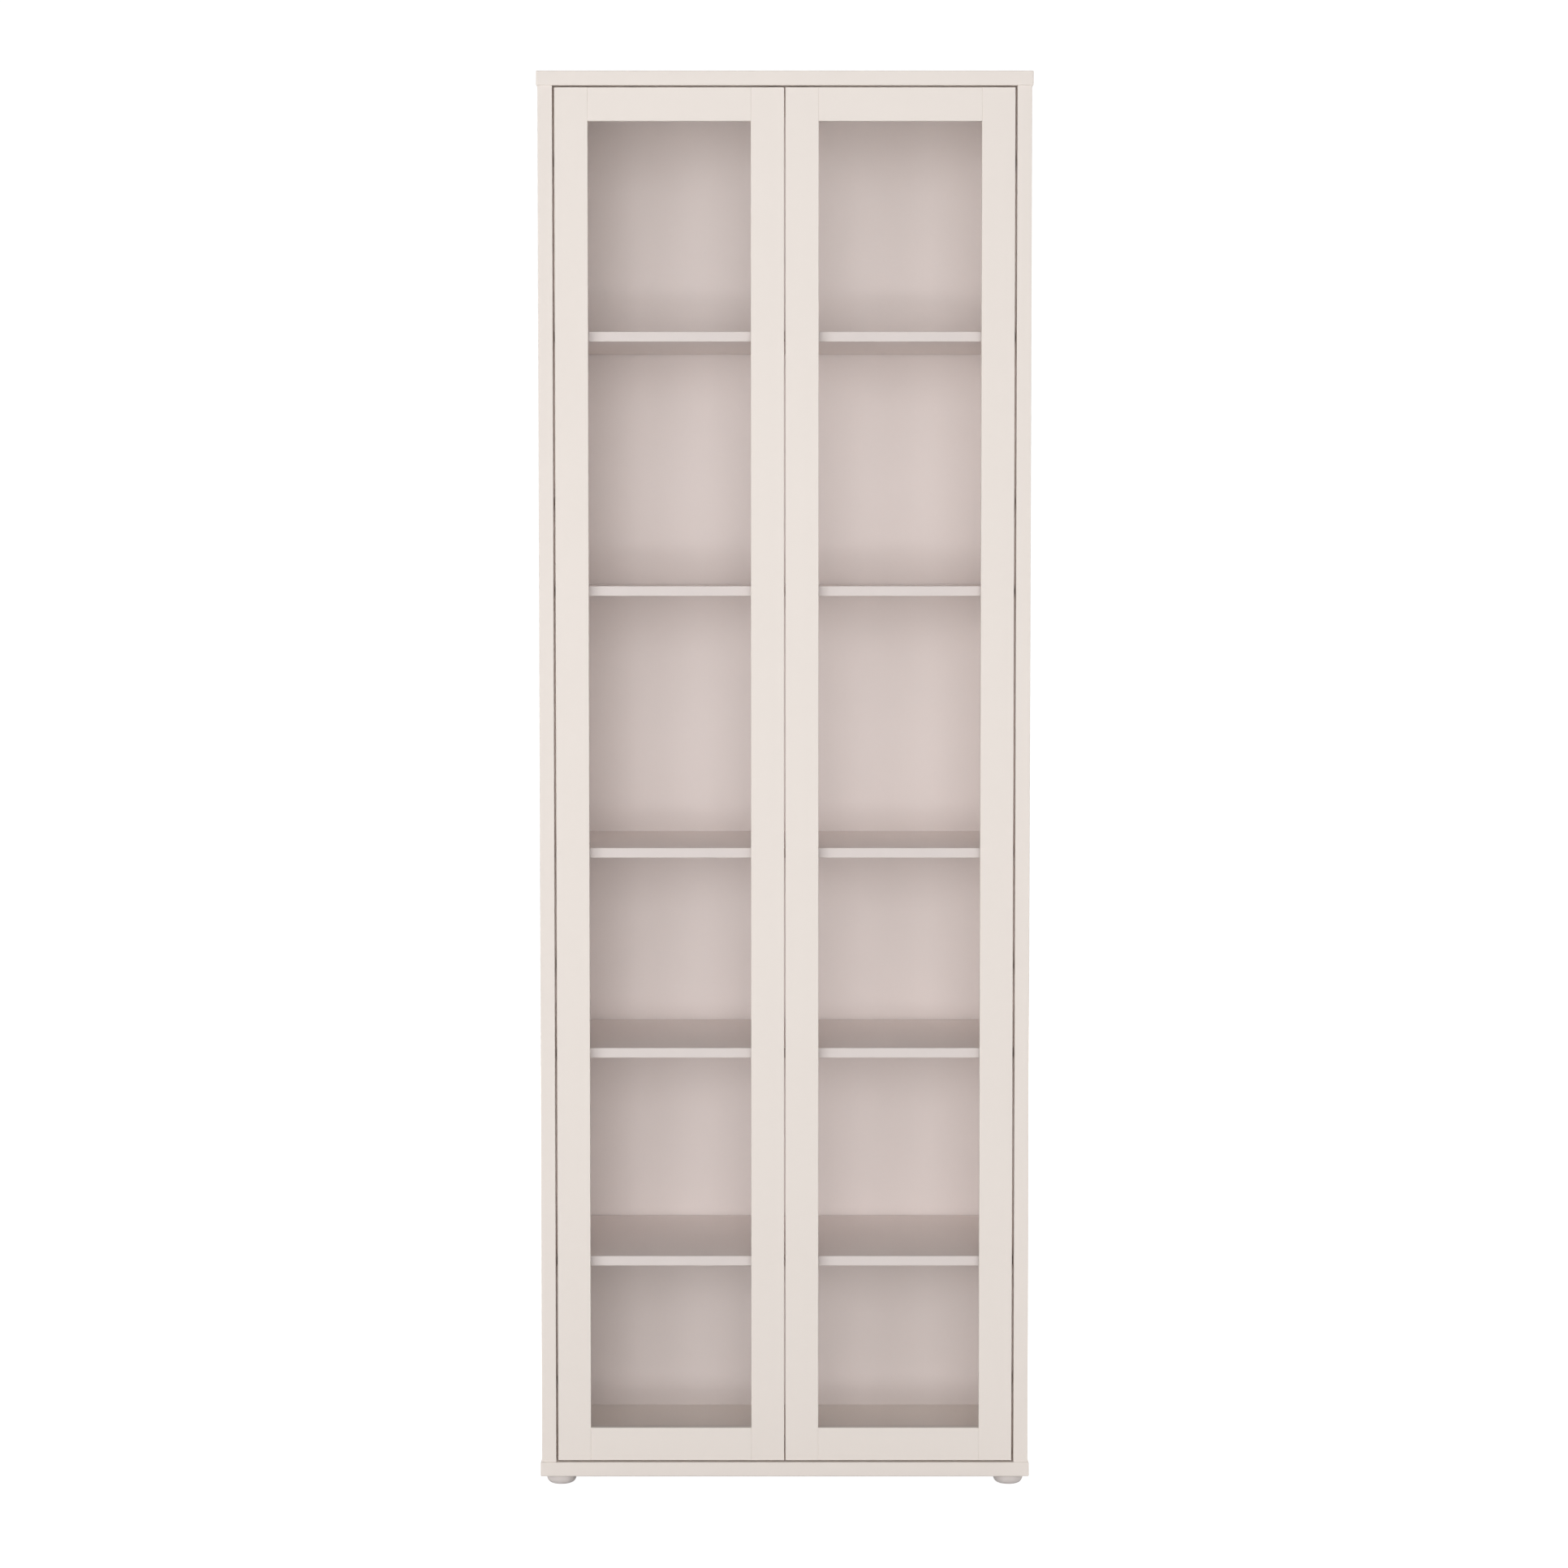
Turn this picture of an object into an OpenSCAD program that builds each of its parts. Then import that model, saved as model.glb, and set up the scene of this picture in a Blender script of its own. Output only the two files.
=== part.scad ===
/* [Overall] */
// Width over the top and bottom panels
total_w = 745; // [700:1:900]
// Depth from the front of the top panel to the rear of the back sheets
total_d = 378; // [360:1:450]
// Height from the floor to the top
total_h = 2143; // [2120:1:2300]

/* [Boards] */
// Thickness of the side, top and bottom panels
board_t = 22; // [20:1:25]
// How far the top and bottom panels stand out past the sides
overhang = 2; // [1:0.5:5]
// Rounding of the top and bottom panels' edges
panel_r = 2; // [0.5:0.5:4]
// Rounding of the side panels' and shelves' front edges
edge_r = 1; // [0.5:0.5:2]
// Thickness of the back sheets
back_t = 3; // [2.5:0.5:5]
// Gap between the upper and the lower back sheet
back_seam = 1; // [0.5:0.5:3]
// How far the back sheets stay inside the top and bottom faces
back_inset = 2; // [1:0.5:4]

/* [Shelves] */
// Thickness of the shelves
shelf_t = 15; // [15:1:19]
// Distance of the shelves' front edges behind the front of the doors
shelf_inset = 31; // [31:1:45]
// End gap between an adjustable shelf and a side panel
shelf_gap = 1; // [1:0.5:2]
// Top of the fixed middle shelf above the floor
middle_top = 974; // [940:1:1000]
// Pitch of the shelf-pin holes
pin_pitch = 32; // [32:1:33]
// Height of the pin-hole grid's first position
pin_start = 42.5; // [40:0.5:45]
// Diameter of the shelf pins
pin_d = 5; // [4:0.5:6]
// Front row of pin holes behind the sides' front edges
pin_row_front = 56; // [50:1:70]
// Rear row of pin holes behind the sides' front edges
pin_row_rear = 317; // [280:1:325]
// Length of the shelf pins
pin_l = 18; // [16:1:20]
// Depth of the pin holes
pin_hole_depth = 12; // [10:0.5:13]

/* [Cams, dowels and nails] */
// Diameter of the cams
cam_d = 15; // [12:0.5:15]
// Height of the cams
cam_h = 12.3; // [12:0.1:12.5]
// Cam bolts' axis below the face that the cams sit in
cam_depth = 9; // [8.5:0.5:10]
// Cams' centres from the joint
cam_in = 34; // [34:1:36]
// Diameter of the cam bolts' threads
thread_d = 5; // [4.5:0.5:6]
// Length of the cam bolts' threads
thread_l = 11; // [10:0.5:11.5]
// Diameter of the cam bolts' heads
bolt_head_d = 6.2; // [6:0.1:6.4]
// Diameter of the slot and the bore that a cam bolt's head runs in
bolt_slot_d = 6.6; // [6.6:0.1:7]
// Diameter of the dowels in the sides and the doors
dowel_d = 8; // [6:1:8]
// Length of the dowels in the sides
dowel_l = 30; // [28:1:32]
// How much of such a dowel is in the side panel
dowel_in_side = 19.5; // [18:0.5:20]
// Length of the dowels in the doors
door_dowel_l = 60; // [50:2:60]
// Diameter of the fixed shelf's dowels
small_dowel_d = 6; // [5:0.5:6]
// Depth of the fixed shelf's dowels in the side panels
small_dowel_in_side = 8.5; // [8:0.5:9]
// Depth of the fixed shelf's dowels in the shelf
small_dowel_in_shelf = 16; // [14:0.5:18]
// How much wider a bore is than what sits in it
bore_gap = 0.2; // [0.1:0.05:0.3]
// Free space at the end of a drilled hole
end_gap = 0.5; // [0.3:0.1:1]
// Height of a nail's head
nail_head_h = 0.8; // [0.6:0.1:1]
// Distance of the outer nails from the floor and from the top
nail_margin = 100; // [80:5:120]

/* [Doors] */
// Thickness of the door frames
door_t = 19; // [18:0.5:20]
// Width of the stiles and rails
stile_w = 50; // [50:1:60]
// Gap between a door and its side panel
gap_side = 3; // [3:0.1:3.5]
// Gap between the two doors
gap_mid = 2; // [2:0.5:5]
// Gap above and below the doors
gap_top = 2.8; // [2:0.1:5]
// Depth of the frame in front of the glass
lip_t = 10; // [8:0.5:11]
// Width of the rebate behind the glass
rebate_w = 10; // [8:0.5:10]
// Thickness of the glass
glass_t = 4; // [3:1:5]
// Play of the glass in its rebate
glass_gap = 2; // [1:0.5:3]
// Small bevel on the frame edges
bevel = 0.5; // [0.3:0.1:1.2]
// How far the rails' fronts lie behind the stiles' fronts
rail_step = 0.1; // [0.1:0.1:0.5]

/* [Hinges] */
// Diameter of the hinge cup
cup_d = 35; // [34:0.5:35]
// Depth of the hinge cup
cup_h = 13; // [12.5:0.5:13.5]
// Centre of the cup from the door's edge
cup_x = 21.5; // [21:0.5:22]
// Pivot from the door's edge
pivot_x = 17.5; // [17:0.5:18]
// Pivot behind the front of the door
pivot_y = 10.2; // [10:0.1:10.5]
// Diameter of the hinge pins
hinge_pin_d = 3; // [2.5:0.5:3]
// Radial clearance of the arm's eye on the pin
eye_gap = 0.05; // [0.03:0.01:0.08]
// Width of the hinge arms
arm_w = 12; // [10:1:12]
// Thickness of the hinge arms
arm_t = 2.4; // [2:0.2:2.4]
// Middle of the arms' rear parts from the side panel
arm_x = 10.5; // [10:0.1:11]
// Thickness of the mounting plates
plate_t = 2.5; // [2:0.5:3]
// Distance of the plates' screws from the hinge's middle
plate_screw_z = 16; // [16:0.5:17]
// Width of the plates' wings
wing_w = 14; // [12:1:16]
// Thickness of the cups' flanges
flange_t = 1.2; // [1:0.1:1.4]
// Distance of the cups' screws from the hinge's middle
cup_screw_z = 24; // [23:0.5:26]
// Distance of the cups' screws from the cup's centre, toward the middle
cup_screw_x = 6; // [5:0.5:8]
// Diameter of the holes for the hinges' and brackets' screws
screw_hole_d = 4.4; // [4:0.1:4.6]

/* [Feet] */
// Height of the feet
foot_h = 15; // [12:1:20]
// Diameter of a foot at the top
foot_top_d = 45; // [40:0.5:50]
// Diameter of a foot on the floor
foot_floor_d = 29; // [27:0.5:34]
// Distance of the feet's centres from the middle
foot_x = 342; // [330:1:345]
// Front feet's centres behind the front edge
foot_inset = 30; // [26:1:60]
// Height of the recess under a foot
foot_recess_h = 6; // [4:0.5:8]

/* [Latches and wall brackets] */
// Distance of each push latch from the middle
latch_x = 22; // [20:1:30]
// Diameter of the latch plunger
plunger_d = 8; // [6:0.5:8]
// Width of a latch housing
latch_w = 16; // [14:1:20]
// Thickness of a latch housing's ears
ear_t = 3; // [2:0.5:3]
// Distance of the latch screws from the housing's middle
latch_screw_x = 13; // [12:0.5:15]
// Thickness of the strike plates
strike_t = 1.4; // [1:0.1:1.5]
// Distance of a strike plate's screw from the latch
strike_screw_x = 11; // [9:0.5:12]
// Thickness of the wall brackets
bracket_t = 2; // [1.5:0.5:3]
// Height of the wall brackets
bracket_h = 24; // [20:1:30]
// Distance of the wall-fixing holes from the middle
wall_hole_x = 333; // [320:1:334]
// Diameter of the wall-fixing holes
wall_hole_d = 6; // [5:0.5:7]

/* [Hidden] */
side_in = total_w / 2 - overhang - board_t;
side_out = total_w / 2 - overhang;
front_y = -total_d / 2 + overhang;
rear_y = total_d / 2 - back_t;
floor_top = foot_h + board_t;
roof = total_h - board_t;
shelf_front = front_y + shelf_inset;
// Pin positions counted in steps of the pin pitch
shelf_steps = [9, 19, 41, 53];
door_w = side_in - gap_side - gap_mid / 2;
door_z = floor_top + gap_top;
door_h = roof - gap_top - door_z;
// Hinges sit midway between pin positions, clear of every shelf
hinge_zs = [154.5, 794.5, 1498.5, 2010.5];
hinge_y = pin_row_front;
// Dowels at a rail's ends, from the door's lower or upper edge
rail_dowel_zs = [14, 32];
dowel_half = door_dowel_l / 2;
// Centreline of a hinge arm, from the pivot to the mounting plate
arm_path = [
    [gap_side + pivot_x, pivot_y],
    [gap_side + pivot_x + 13, pivot_y + 2.8],
    [gap_side + pivot_x + 15, pivot_y + 17.3],
    [gap_side + pivot_x + 4.5, pivot_y + 25.8],
    [arm_x, 43],
    [arm_x, 80]
];
arm_screw_ys = [hinge_y - 5, hinge_y + 14];
cam_ys = [-120, 120];
dowel_ys = [-165, 146];
middle_cam_ys = [-100, 120];
middle_dowel_ys = [-140, 160];
middle_z = middle_top - shelf_t / 2;
foot_y = total_d / 2 - foot_inset;
latch_z = roof - 9;
latch_front = front_y + 29;
latch_screw_y = front_y + 65;
strike_rear = front_y + door_t + strike_t;
wall_hole_z = roof - 20;
// Wall brackets' side screws, ahead of the back sheets
bracket_screw_y = rear_y - 22;
white = [0.91, 0.88, 0.85];
back_white = [0.86, 0.83, 0.80];
steel = [0.72, 0.72, 0.73];
grey_plastic = [0.74, 0.70, 0.67];

// ---- helpers ----

// Everything is drawn for the left half; the right half is its mirror image
module on_side(s) {
    if (s > 0) mirror([1, 0, 0]) children();
    else children();
}

// Origin on the side panel's inner face, at the front plane and a hinge's height
module at_hinges(s) {
    for (z = hinge_zs) on_side(s) translate([-side_in, front_y, z]) children();
}

// Origin at the door's hinge edge, front face and lower edge
module in_door(s) {
    on_side(s) translate([-side_in + gap_side, front_y, door_z]) children();
}

// Flat rectangle from a to b with rounded corners
module soft_rect(a, b, r) {
    translate([a[0] + r, a[1]]) square([b[0] - a[0] - 2 * r, b[1] - a[1]]);
    translate([a[0], a[1] + r]) square([b[0] - a[0], b[1] - a[1] - 2 * r]);
    for (x = [a[0] + r, b[0] - r], y = [a[1] + r, b[1] - r])
        translate([x, y]) circle(r = r, $fn = 24);
}

// Bar along X whose profile is drawn in (y, z)
module along_x(x0, x1) {
    translate([x0, 0, 0]) rotate([90, 0, 90]) linear_extrude(x1 - x0) children();
}

// Bar along Y whose profile is drawn in (x, z)
module along_y(y0, y1) {
    translate([0, y1, 0]) rotate([90, 0, 0]) linear_extrude(y1 - y0) children();
}

// Board with all its front, left and right edges rounded, square at the rear
module soft_panel(w, y0, y1, z0, z1, r) {
    intersection() {
        along_y(y0, y1) soft_rect([-w / 2, z0], [w / 2, z1], r);
        along_x(-w / 2, w / 2) soft_rect([y0, z0], [y1 + 2 * r, z1], r);
        translate([0, 0, z0]) linear_extrude(z1 - z0)
            soft_rect([-w / 2, y0], [w / 2, y1 + 2 * r], r);
    }
}

// Profile in (y, z) of a board whose front edges are rounded and whose rear is cut square
module front_rounded(y0, y1, z0, z1) {
    intersection() {
        soft_rect([y0, z0], [y1 + 3 * edge_r, z1], edge_r);
        translate([y0, z0]) square([y1 - y0, z1 - z0]);
    }
}

// Unit normal to the left of the line from a to b
function normal(a, b) = [a[1] - b[1], b[0] - a[0]] / norm(b - a);

// Point on one side of a path, at distance h from its point i, mitred
function side_point(p, i, h) =
    let (n1 = i > 0 ? normal(p[i - 1], p[i]) : normal(p[0], p[1]))
    let (n2 = i < len(p) - 1 ? normal(p[i], p[i + 1]) : n1)
    p[i] + h * (n1 + n2) / (1 + n1 * n2);

// The same path with each inner corner rounded, starting r before the corner
function round_path(p, r) = concat(
    [p[0]],
    [for (i = [1 : len(p) - 2], t = [0 : 0.25 : 1])
        let (a = p[i] + r * (p[i - 1] - p[i]) / norm(p[i - 1] - p[i]))
        let (b = p[i] + r * (p[i + 1] - p[i]) / norm(p[i + 1] - p[i]))
        (1 - t) * (1 - t) * a + 2 * t * (1 - t) * p[i] + t * t * b],
    [p[len(p) - 1]]
);

// Bent strip of even thickness along a list of points
module strip(p, t) {
    n = len(p) - 1;
    polygon(concat(
        [for (i = [0 : n]) side_point(p, i, t / 2)],
        [for (i = [n : -1 : 0]) side_point(p, i, -t / 2)]
    ));
}

// Cylinder along X from x0 to x1
module rod_x(x0, x1, d) {
    translate([x0, 0, 0]) rotate([0, 90, 0]) cylinder(h = x1 - x0, d = d, $fn = 20);
}

// Cylinder along Y from y0 to y1
module rod_y(y0, y1, d) {
    translate([0, y1, 0]) rotate([90, 0, 0]) cylinder(h = y1 - y0, d = d, $fn = 20);
}

// Pan-head screw: underside of the head at z = 0, shank downward, cross recess on top
module screw(l, d, head_d, head_h) {
    difference() {
        union() {
            cylinder(h = head_h, d1 = head_d, d2 = head_d * 0.8, $fn = 16);
            translate([0, 0, -l]) cylinder(h = l, d = d, $fn = 16);
        }
        for (a = [0, 90]) rotate(a)
            translate([-head_d * 0.28, -0.4, head_h * 0.45]) cube([head_d * 0.56, 0.8, head_h]);
    }
}

// ---- carcass ----

module pin_holes() {
    for (n = shelf_steps, k = [-2 : 2], y = [pin_row_front, pin_row_rear])
        translate([-side_in, front_y + y, pin_start + (n + k) * pin_pitch])
            rod_x(-pin_hole_depth, 1, pin_d + bore_gap);
}

module side_panel(s) {
    on_side(s) difference() {
        translate([0, 0, floor_top]) linear_extrude(roof - floor_top)
            intersection() {
                soft_rect([-side_out, front_y], [-side_in, rear_y + 3 * edge_r], edge_r);
                translate([-side_out, front_y]) square([board_t, rear_y - front_y]);
            }
        pin_holes();
        for (z = [floor_top + cam_in, roof - cam_in], y = cam_ys)
            translate([-side_in, y, z]) rod_x(-cam_h - bore_gap, 1, cam_d + bore_gap);
        for (z = [floor_top - 1, roof - cam_in], y = cam_ys)
            translate([-side_in - cam_depth, y, z])
                cylinder(h = cam_in + 1, d = bolt_slot_d, $fn = 20);
        for (z = [floor_top - 1, roof - dowel_in_side - end_gap], y = dowel_ys)
            translate([-side_in - board_t / 2, y, z])
                cylinder(h = dowel_in_side + end_gap + 1, d = dowel_d + bore_gap, $fn = 20);
        for (y = middle_dowel_ys)
            translate([-side_in, y, middle_z])
                rod_x(-small_dowel_in_side - end_gap, 1, small_dowel_d + bore_gap);
        for (y = middle_cam_ys)
            translate([-side_in, y, middle_top - shelf_t + cam_depth])
                rod_x(-thread_l - end_gap, 1, thread_d + bore_gap);
    }
}

module left_side_panel() {
    color(white) side_panel(-1);
}

module right_side_panel() {
    color(white) side_panel(1);
}

// Bolt and dowel holes that open on the face z = 0 and run upward
module end_holes() {
    for (s = [-1, 1]) on_side(s) {
        for (y = cam_ys)
            translate([-side_in - cam_depth, y, -1])
                cylinder(h = thread_l + end_gap + 1, d = thread_d + bore_gap, $fn = 20);
        for (y = dowel_ys)
            translate([-side_in - board_t / 2, y, -1])
                cylinder(h = dowel_l - dowel_in_side + end_gap + 1, d = dowel_d + bore_gap, $fn = 20);
    }
}

module top_panel() {
    color(white) difference() {
        soft_panel(total_w, -total_d / 2, rear_y, roof, total_h, panel_r);
        translate([0, 0, roof]) end_holes();
    }
}

module bottom_panel() {
    color(white) difference() {
        soft_panel(total_w, -total_d / 2, rear_y, foot_h, floor_top, panel_r);
        translate([0, 0, floor_top]) mirror([0, 0, 1]) end_holes();
    }
}

module adjustable_shelf(step) {
    w = 2 * (side_in - shelf_gap);
    z = pin_start + step * pin_pitch + pin_d / 2;
    along_x(-w / 2, w / 2) front_rounded(shelf_front, rear_y - 2, z, z + shelf_t);
}

module bottom_shelf() {
    color(white) adjustable_shelf(shelf_steps[0]);
}

module lower_shelf() {
    color(white) adjustable_shelf(shelf_steps[1]);
}

module upper_shelf() {
    color(white) adjustable_shelf(shelf_steps[2]);
}

module top_shelf() {
    color(white) adjustable_shelf(shelf_steps[3]);
}

module middle_shelf() {
    z = middle_top - shelf_t;
    color(white) difference() {
        along_x(-side_in, side_in) front_rounded(shelf_front, rear_y, z, middle_top);
        for (s = [-1, 1]) on_side(s) {
            for (y = middle_cam_ys) {
                translate([-side_in + cam_in, y, z - 1])
                    cylinder(h = cam_h + bore_gap + 1, d = cam_d + bore_gap, $fn = 24);
                translate([-side_in, y, z + cam_depth]) rod_x(-1, cam_in, bolt_slot_d);
            }
            for (y = middle_dowel_ys)
                translate([-side_in, y, middle_z])
                    rod_x(-1, small_dowel_in_shelf + end_gap, small_dowel_d + bore_gap);
        }
    }
}

// One half of the back, from z0 to z1, with any wall-fixing holes in its range
module back_sheet(z0, z1) {
    difference() {
        translate([-side_out, rear_y, z0]) cube([2 * side_out, back_t, z1 - z0]);
        for (s = [-1, 1]) on_side(s)
            translate([-wall_hole_x, 0, wall_hole_z])
                rod_y(rear_y - 1, rear_y + back_t + 1, wall_hole_d);
    }
}

module back_panel_upper() {
    color(back_white) back_sheet(middle_z + back_seam / 2, total_h - back_inset);
}

module back_panel_lower() {
    color(back_white) back_sheet(foot_h + back_inset, middle_z - back_seam / 2);
}

module nail() {
    rod_y(-16, 0, 1.4);
    rod_y(0, nail_head_h, 3.4);
}

// Nails sit in from the rear face so that their heads are flush with it
module back_panel_nails() {
    y = rear_y + back_t - nail_head_h;
    pitch = (total_h - 2 * nail_margin) / 6;
    color(steel) {
        for (s = [-1, 1], k = [0 : 6]) on_side(s)
            translate([-side_out + board_t / 2, y, nail_margin + k * pitch]) nail();
        for (x = [-170, 170]) {
            for (z = [foot_h + board_t / 2, roof + board_t / 2]) translate([x, y, z]) nail();
            for (z = [-1, 1]) translate([x, y, middle_z + z * 4.5]) nail();
        }
    }
}

module shelf_pins() {
    color(steel) for (s = [-1, 1], n = shelf_steps, y = [pin_row_front, pin_row_rear])
        on_side(s) translate([-side_in, front_y + y, pin_start + n * pin_pitch]) {
            rod_x(-pin_l / 2, pin_l / 2, pin_d);
            rod_x(0, 0.8, pin_d + 1.8);
        }
}

// Cam with its face at x = 0, its body toward -x and a bolt slot that opens upward
module cam() {
    difference() {
        rod_x(-cam_h, 0, cam_d);
        translate([-cam_depth, 0, -3.5]) cylinder(h = cam_d, d = bolt_slot_d, $fn = 20);
        for (a = [0, 90]) rotate([a, 0, 0]) translate([-2, -3.5, -0.7]) cube([4, 7, 1.4]);
    }
}

module cam_locks() {
    color(steel) for (s = [-1, 1]) on_side(s) {
        for (y = cam_ys) {
            translate([-side_in, y, roof - cam_in]) cam();
            translate([-side_in, y, floor_top + cam_in]) mirror([0, 0, 1]) cam();
        }
        for (y = middle_cam_ys)
            translate([-side_in + cam_in, y, middle_top - shelf_t])
                rotate([0, 90, 0]) mirror([0, 0, 1]) cam();
    }
}

// Cam bolt: thread upward from z = 0, shank and head downward, a thin collar under the thread
module cam_bolt(collar) {
    cylinder(h = thread_l, d = thread_d, $fn = 16);
    if (collar) translate([0, 0, -0.6]) cylinder(h = 0.6, d = bolt_head_d, $fn = 16);
    translate([0, 0, 6 - cam_in]) cylinder(h = cam_in - 5.5, d = thread_d - 1, $fn = 16);
    translate([0, 0, -cam_in - 2]) cylinder(h = 8.5, d = bolt_head_d, $fn = 16);
}

module cam_bolts() {
    color(steel) for (s = [-1, 1]) on_side(s) {
        for (y = cam_ys) {
            translate([-side_in - cam_depth, y, roof]) cam_bolt(true);
            translate([-side_in - cam_depth, y, floor_top]) mirror([0, 0, 1]) cam_bolt(true);
        }
        for (y = middle_cam_ys)
            translate([-side_in, y, middle_top - shelf_t + cam_depth])
                rotate([0, -90, 0]) cam_bolt(false);
    }
}

module carcass_dowels() {
    color("burlywood") for (s = [-1, 1]) on_side(s) {
        for (z = [roof - dowel_in_side, floor_top + dowel_in_side - dowel_l], y = dowel_ys)
            translate([-side_in - board_t / 2, y, z]) cylinder(h = dowel_l, d = dowel_d, $fn = 20);
        for (y = middle_dowel_ys)
            translate([-side_in, y, middle_z])
                rod_x(-small_dowel_in_side, small_dowel_in_shelf, small_dowel_d);
    }
}

// Bowl-shaped foot: straight wall above, rounded in to the floor, recess for its screw below
module foot(x, y) {
    r = foot_floor_d / 2;
    out = foot_top_d / 2 - r;
    curve_h = foot_h * 0.62;
    recess_r = 8;
    hole_r = 2.4;
    translate([x, y, 0]) rotate_extrude($fn = 48) polygon(concat(
        [[recess_r, 0]],
        [for (a = [0 : 15 : 90]) [r + out * sin(a), curve_h * (1 - cos(a))]],
        [[r + out, foot_h], [hole_r, foot_h], [hole_r, foot_recess_h], [recess_r, foot_recess_h]]
    ));
}

module front_left_foot() {
    color(grey_plastic) foot(-foot_x, -foot_y);
}

module front_right_foot() {
    color(grey_plastic) foot(foot_x, -foot_y);
}

module rear_left_foot() {
    color(grey_plastic) foot(-foot_x, foot_y);
}

module rear_right_foot() {
    color(grey_plastic) foot(foot_x, foot_y);
}

module foot_screws() {
    color(steel) for (x = [-foot_x, foot_x], y = [-foot_y, foot_y])
        translate([x, y, foot_recess_h]) rotate([180, 0, 0]) screw(24, 4, 8, 2.4);
}

// ---- hinges, on the carcass ----

// Winged plate with a raised block that the arm sits on
module hinge_plate() {
    block_w = arm_w - 2.4;
    difference() {
        union() {
            translate([0, hinge_y - 14, -wing_w / 2]) cube([plate_t, 38, wing_w]);
            translate([0, hinge_y - wing_w / 2, -plate_screw_z])
                cube([plate_t, wing_w, 2 * plate_screw_z]);
            for (z = [-plate_screw_z, plate_screw_z])
                translate([0, hinge_y, z]) rod_x(0, plate_t, wing_w);
            translate([plate_t / 2, hinge_y - 10, -block_w / 2])
                cube([arm_x - arm_t / 2 - plate_t / 2, 32, block_w]);
        }
        for (z = [-plate_screw_z, plate_screw_z])
            translate([0, hinge_y, z]) rod_x(-1, plate_t + 1, screw_hole_d);
    }
}

module left_hinge_plates() {
    color(steel) at_hinges(-1) hinge_plate();
}

module right_hinge_plates() {
    color(steel) at_hinges(1) hinge_plate();
}

// Cranked arm with an eye on the pin and cheeks beside the plate's block
module hinge_arm() {
    p = arm_path[0];
    cheek_t = 1.1;
    difference() {
        union() {
            translate([0, 0, -arm_w / 2]) linear_extrude(arm_w) strip(round_path(arm_path, 4), arm_t);
            translate([p[0], p[1], -arm_w / 2]) cylinder(h = arm_w, d = 5.6, $fn = 32);
            for (z = [-arm_w / 2, arm_w / 2 - cheek_t])
                translate([3, hinge_y - 10, z]) cube([8, 34, cheek_t]);
        }
        translate([p[0], p[1], -arm_w])
            cylinder(h = 2 * arm_w, d = hinge_pin_d + 2 * eye_gap, $fn = 32);
        for (y = arm_screw_ys) translate([0, y, 0]) rod_x(8, 14, screw_hole_d);
    }
}

module left_hinge_arms() {
    color(steel) at_hinges(-1) hinge_arm();
}

module right_hinge_arms() {
    color(steel) at_hinges(1) hinge_arm();
}

module hinge_plate_screws() {
    color(steel) for (s = [-1, 1]) at_hinges(s)
        for (z = [-plate_screw_z, plate_screw_z])
            translate([plate_t, hinge_y, z]) rotate([0, 90, 0]) screw(16, 3.8, 7, 2);
}

module hinge_arm_screws() {
    color(steel) for (s = [-1, 1]) at_hinges(s)
        for (y = arm_screw_ys)
            translate([arm_x + arm_t / 2, y, 0]) rotate([0, 90, 0]) screw(8, 4, 7, 2);
}

// ---- push latches, on the carcass ----

module latch_housing(s) {
    on_side(s) translate([-latch_x, 0, 0]) difference() {
        union() {
            along_y(latch_front, latch_front + 76)
                soft_rect([-latch_w / 2, latch_z - latch_w / 2], [latch_w / 2, roof], 2);
            translate([-latch_screw_x - 5, latch_screw_y - 15, roof - ear_t])
                cube([2 * latch_screw_x + 10, 30, ear_t]);
        }
        translate([0, 0, latch_z]) rod_y(latch_front - 1, latch_front + 51, plunger_d + 0.3);
        for (x = [-latch_screw_x, latch_screw_x])
            translate([x, latch_screw_y, roof - ear_t - 1]) cylinder(h = ear_t + 2, d = 4, $fn = 16);
    }
}

module left_latch_housing() {
    color(white) latch_housing(-1);
}

module right_latch_housing() {
    color(white) latch_housing(1);
}

module latch_screws() {
    color(steel) for (s = [-1, 1], x = [-latch_screw_x, latch_screw_x]) on_side(s)
        translate([-latch_x + x, latch_screw_y, roof - ear_t]) rotate([180, 0, 0]) screw(14, 3.4, 6, 1.8);
}

// Plunger with a slimmer tip just behind the strike plate
module latch_plunger(s) {
    tip = strike_rear + 0.4;
    shoulder = tip + 3.2;
    on_side(s) translate([-latch_x, 0, latch_z]) {
        rod_y(shoulder, shoulder + 50, plunger_d);
        rod_y(tip, shoulder, plunger_d - 2);
    }
}

module left_latch_plunger() {
    color("gainsboro") latch_plunger(-1);
}

module right_latch_plunger() {
    color("gainsboro") latch_plunger(1);
}

// ---- wall brackets ----

module wall_brackets() {
    color(steel) for (s = [-1, 1]) on_side(s) difference() {
        union() {
            translate([-side_in, rear_y - 36, wall_hole_z - bracket_h / 2])
                cube([bracket_t, 36, bracket_h]);
            translate([-side_in, rear_y - bracket_t, wall_hole_z - bracket_h / 2])
                cube([30, bracket_t, bracket_h]);
        }
        translate([-wall_hole_x, 0, wall_hole_z]) rod_y(rear_y - 3, rear_y + 1, wall_hole_d);
        translate([-side_in, bracket_screw_y, wall_hole_z]) rod_x(-1, bracket_t + 1, screw_hole_d);
    }
}

module wall_bracket_screws() {
    color(steel) for (s = [-1, 1]) on_side(s)
        translate([-side_in + bracket_t, bracket_screw_y, wall_hole_z])
            rotate([0, 90, 0]) screw(16, 3.8, 7, 2);
}

// ---- doors ----

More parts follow.
